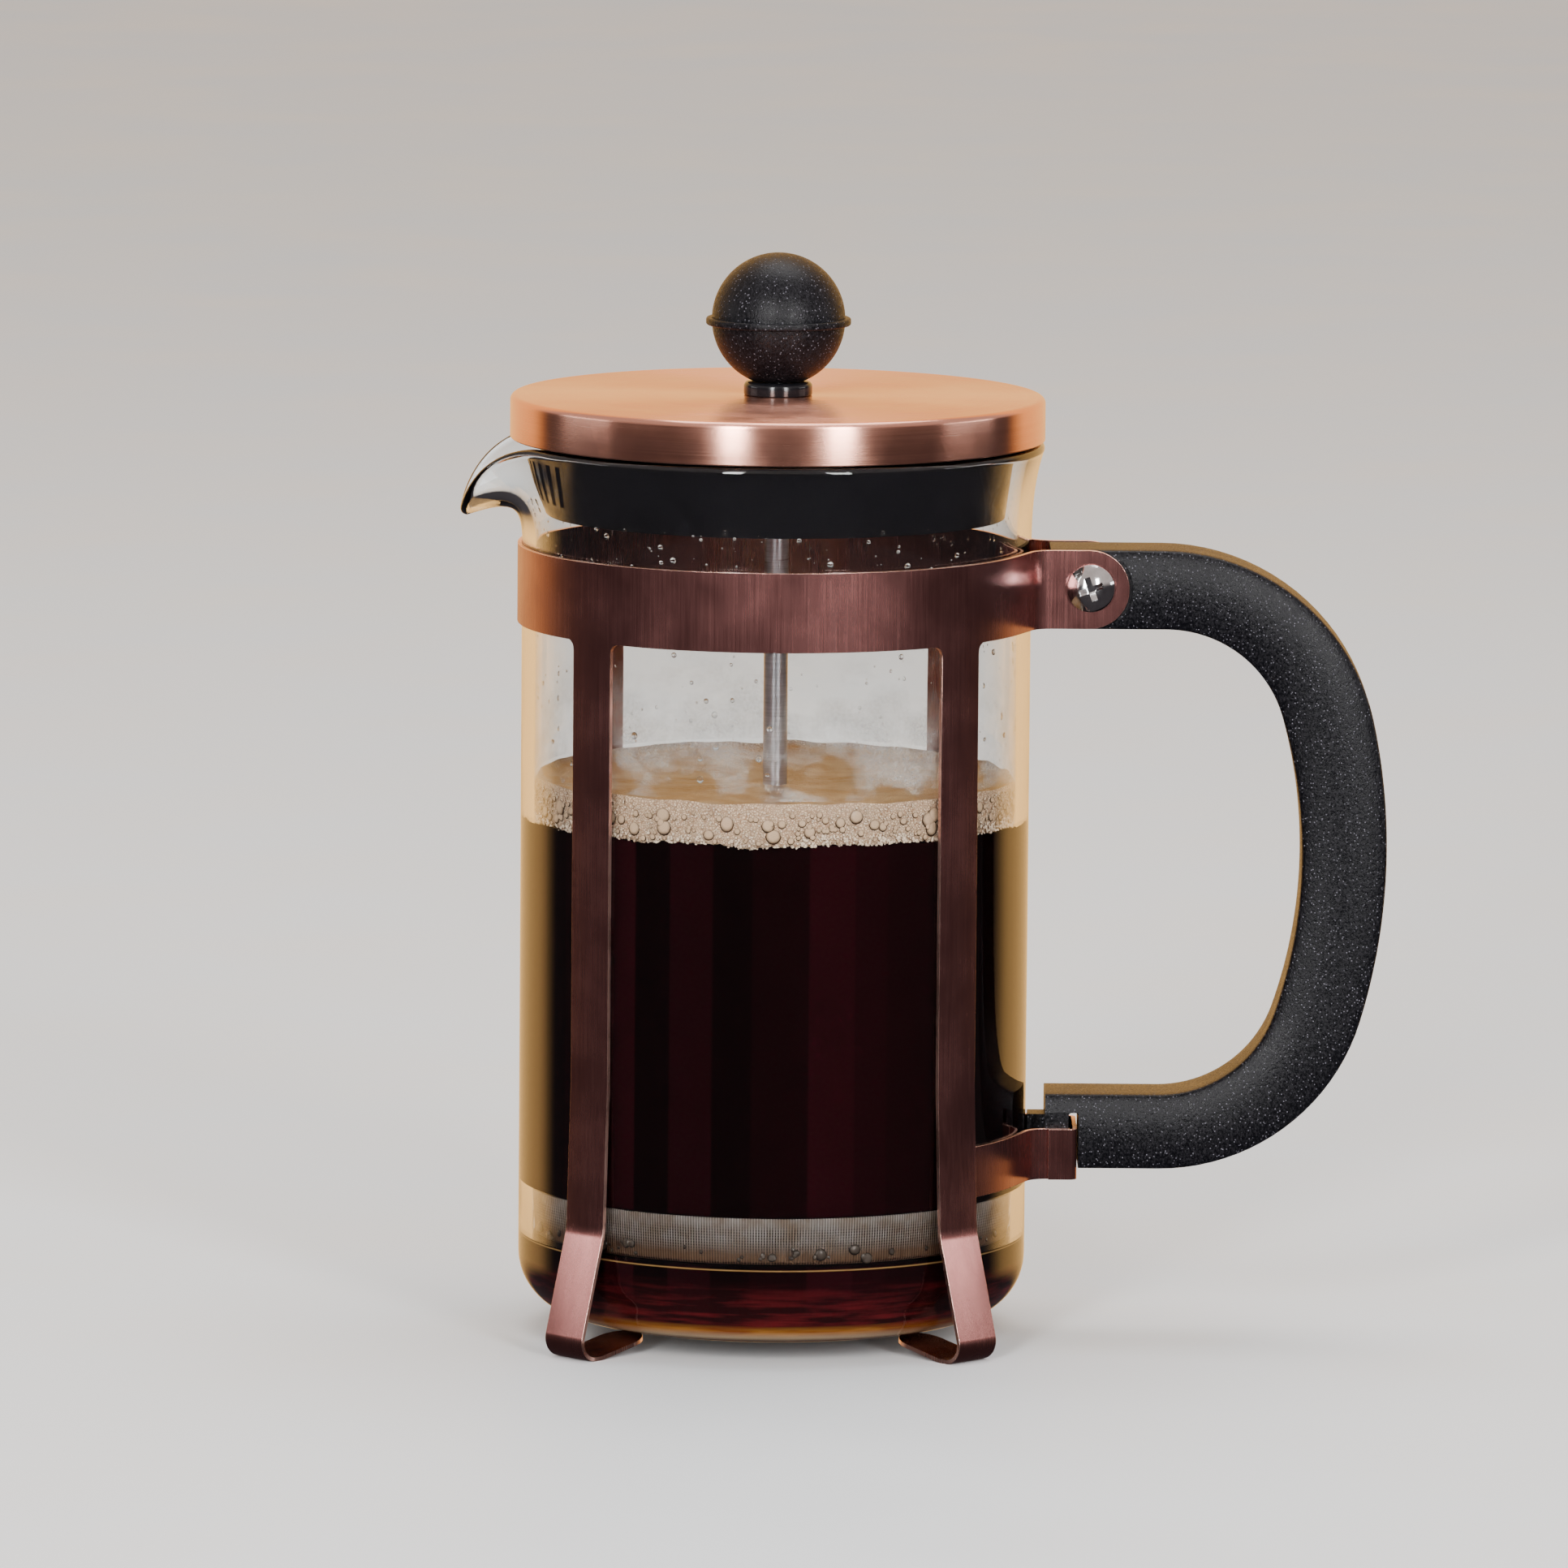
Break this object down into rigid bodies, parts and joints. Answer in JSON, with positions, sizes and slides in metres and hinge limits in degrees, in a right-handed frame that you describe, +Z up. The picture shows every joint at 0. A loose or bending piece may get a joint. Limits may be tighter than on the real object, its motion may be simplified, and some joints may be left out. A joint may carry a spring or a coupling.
{
  "type": "coffee press",
  "caption": "Cylindrical glass coffee press in a copper-coloured metal frame, with a black C-shaped handle, a flat lid and a plunger with a ball knob and a mesh filter.",
  "frame": {"origin": "on the beaker's axis, level with the surface that the four feet stand on", "axes": "+Z up along the beaker and the plunger rod, +X towards the handle, -X towards the spout"},
  "size_m": [0.153, 0.0882, 0.1792],
  "materials": {
    "copper_frame": "antique copper plating, fine brushed grain",
    "copper_lid": "copper plating, brushed round the skirt, polished top",
    "beaker_glass": "clear borosilicate, polished",
    "handle_plastic": "fine sparkle texture on the domed sides",
    "knob_plastic": "fine sparkle texture",
    "bushing_plastic": "smooth and glossy",
    "strainer_plastic": "satin",
    "screw_metal": "bright plated",
    "plain_steel": "satin stainless",
    "mesh_steel": "fine woven stainless mesh, coffee stained",
    "insert_brass": "turned"
  },
  "bodies": {
    "stand": {"frame": "copper_frame", "glass_beaker": "beaker_glass", "handle": "handle_plastic", "handle_screw": "screw_metal", "screw_washer": "plain_steel", "cap_nut": "screw_metal"},
    "lid_guide": {"lid_bushing": "bushing_plastic", "bushing_clip": "plain_steel"},
    "lid": {"lid_cap": "copper_lid", "strainer_ring": "strainer_plastic"},
    "plunger": {"knob_top": "knob_plastic", "knob_base": "knob_plastic", "knob_insert": "insert_brass", "plunger_rod": "plain_steel", "rod_collar": "plain_steel", "spring_plate": "plain_steel", "edge_spring": "plain_steel", "filter_mesh": "mesh_steel", "cross_plate": "plain_steel", "cross_hub": "plain_steel"}
  },
  "joints": [
    {"name": "lid_lift", "type": "slide", "parent": "stand", "child": "lid_guide", "axis": [0, 0, 1], "range_m": [0, 0.16]},
    {"name": "lid_turn", "type": "hinge", "parent": "lid_guide", "child": "lid", "pos_m": [0, 0, 0.1557], "axis": [0, 0, 1], "continuous": true},
    {"name": "plunger_lift", "type": "slide", "parent": "lid_guide", "child": "plunger", "axis": [0, 0, 1], "range_m": [0, 0.108]}
  ]
}
